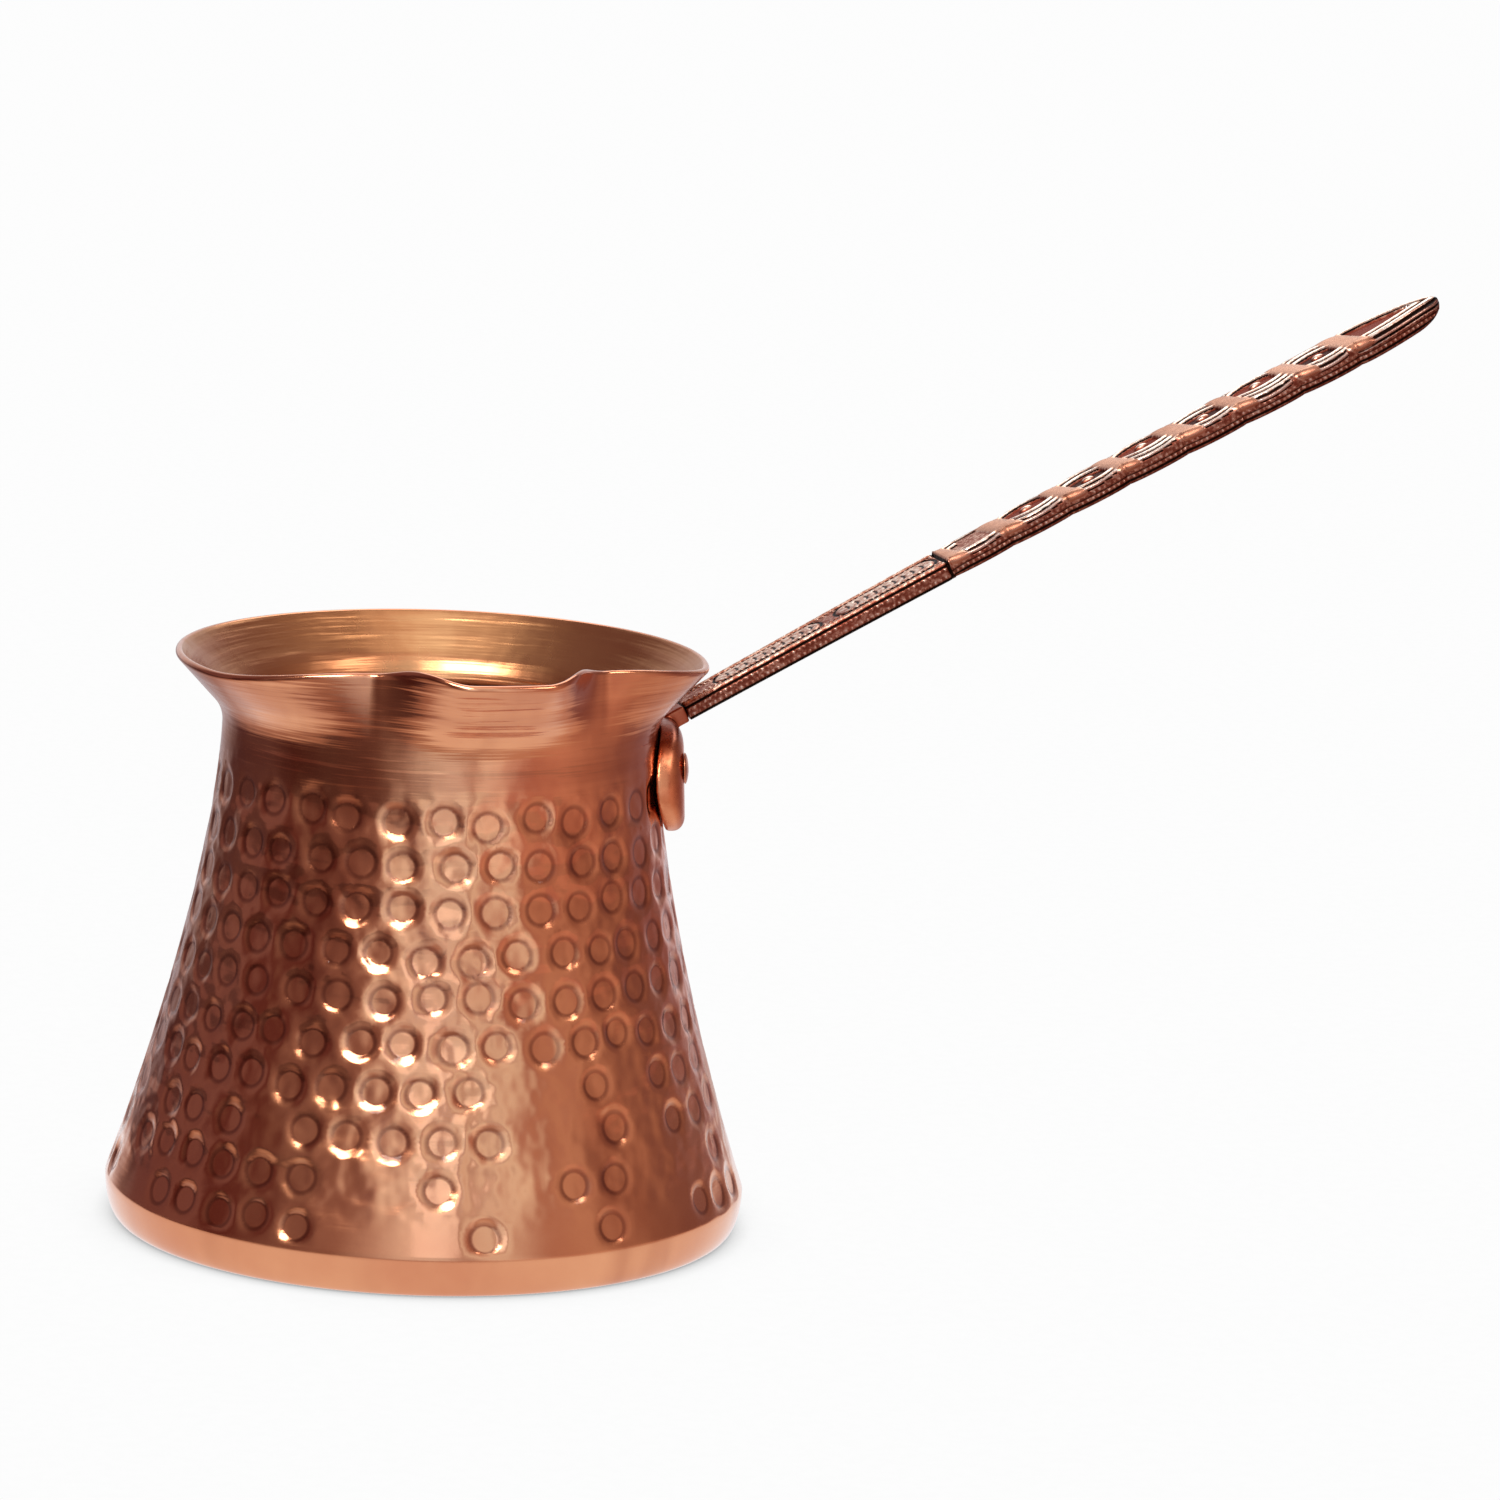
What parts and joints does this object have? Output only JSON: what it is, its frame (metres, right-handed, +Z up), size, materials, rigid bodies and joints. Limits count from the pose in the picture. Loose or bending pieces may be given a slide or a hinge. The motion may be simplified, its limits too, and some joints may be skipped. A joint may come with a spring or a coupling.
{
  "type": "turkish coffee pot",
  "caption": "Hammered copper Turkish coffee pot (cezve): wide base, narrow neck, pinched pouring spout, long ornamented handle on a riveted bracket.",
  "frame": {"origin": "middle of the flat underside of the pot, on the pot's axis", "axes": "+Z up along the pot's axis, +X towards the handle, -Y towards the pouring spout"},
  "size_m": [0.2132, 0.1, 0.1462],
  "materials": {
    "pot_copper": "polished hammered copper, lacquered, warm brown tarnish",
    "bracket_copper": "cast red copper, satin",
    "handle_bronze": "cast copper alloy, darkened in the recesses, rubbed bright on the ridges",
    "rivet_copper": "hammered copper rivet, polished"
  },
  "bodies": {
    "root": {"pot_body": "pot_copper", "handle_bracket": "bracket_copper", "handle": "handle_bronze", "bracket_rivet_spout_side": "rivet_copper", "bracket_rivet_back_side": "rivet_copper", "bracket_rivet_lower": "rivet_copper"}
  },
  "joints": []
}
